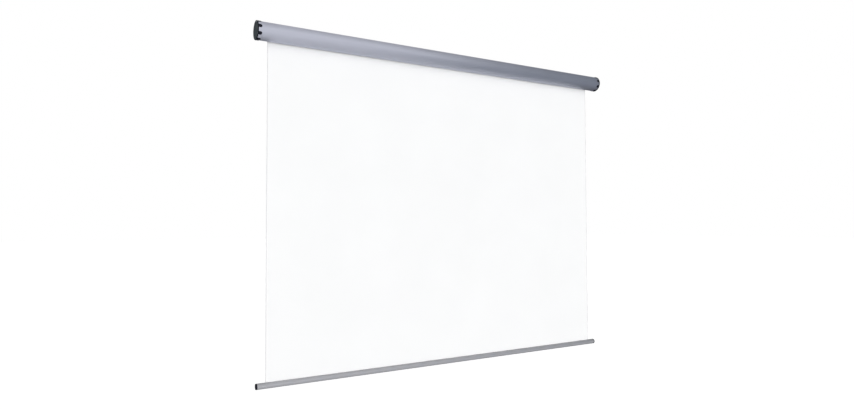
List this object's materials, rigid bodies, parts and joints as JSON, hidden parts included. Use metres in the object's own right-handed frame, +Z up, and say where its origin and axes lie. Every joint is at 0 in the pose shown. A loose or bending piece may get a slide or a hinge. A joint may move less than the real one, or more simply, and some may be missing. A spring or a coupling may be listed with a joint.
{
  "type": "pull down projector screen",
  "caption": "Wall-hung manual projector screen drawn down from a round silver casing, with its spring roller, ratchet, end caps, bottom bar and wall brackets.",
  "frame": {"origin": "on the wall plane behind the screen, midway between the brackets, at the height of the casing's axis", "axes": "+X along the width, to the right as seen from in front; +Y from the room into the wall; +Z up"},
  "size_m": [1.909, 0.0851, 1.5055],
  "materials": {
    "casing_silver": "satin anodised",
    "bar_silver": "satin anodised",
    "mill_aluminium": "mill",
    "cap_plastic": "fine moulded grain",
    "inner_plastic": "moulded",
    "zinc_steel": "zinc plated",
    "spring_steel": "oiled",
    "screen_white": "matt white"
  },
  "bodies": {
    "casing": {"casing_tube": "casing_silver", "end_cap_left": "cap_plastic", "end_cap_right": "cap_plastic", "cap_screw_left_upper": "zinc_steel", "cap_screw_left_lower": "zinc_steel", "cap_screw_right_upper": "zinc_steel", "cap_screw_right_lower": "zinc_steel", "spring_rod": "zinc_steel", "ratchet_wheel": "zinc_steel", "spring_barrel": "inner_plastic", "torsion_spring": "spring_steel", "idler_bush": "inner_plastic", "wall_bracket_left": "zinc_steel", "wall_bracket_right": "zinc_steel", "clamp_bolt_left": "zinc_steel", "clamp_bolt_right": "zinc_steel", "channel_nut_left": "zinc_steel", "channel_nut_right": "zinc_steel", "screen_fabric": "screen_white"},
    "roller": {"roller_tube": "mill_aluminium", "roller_spline": "inner_plastic", "fabric_top_hem": "screen_white", "fabric_wrap": "screen_white", "idler_plug": "inner_plastic", "idler_pin": "zinc_steel", "ratchet_housing": "inner_plastic", "pawl_pin_lower": "zinc_steel", "pawl_pin_upper": "zinc_steel", "spring_anchor": "inner_plastic"},
    "lower_pawl": {"pawl_lower": "zinc_steel"},
    "upper_pawl": {"pawl_upper": "zinc_steel"},
    "bottom_bar": {"bar_tube": "bar_silver", "bar_plug_left": "cap_plastic", "bar_plug_right": "cap_plastic", "bar_spline": "inner_plastic", "fabric_bottom_hem": "screen_white"}
  },
  "joints": [
    {"name": "bar_slide", "type": "slide", "parent": "casing", "child": "bottom_bar", "axis": [0, 0, 1], "range_m": [0, 1.4025], "deforming": ["screen_fabric"]},
    {"name": "roller_spin", "type": "hinge", "parent": "casing", "child": "roller", "pos_m": [0, -0.045, 0], "axis": [1, 0, 0], "range_deg": [-1, 3241]},
    {"name": "lower_pawl_swing", "type": "hinge", "parent": "roller", "child": "lower_pawl", "pos_m": [-0.9173, -0.05348, -0.01011], "axis": [1, 0, 0], "range_deg": [0, 23]},
    {"name": "upper_pawl_swing", "type": "hinge", "parent": "roller", "child": "upper_pawl", "pos_m": [-0.9173, -0.03651, 0.01011], "axis": [1, 0, 0], "range_deg": [0, 23]}
  ],
  "couplings": [
    {"joint": "roller_spin", "follows": "bar_slide", "rad_per_m": 40.32}
  ]
}
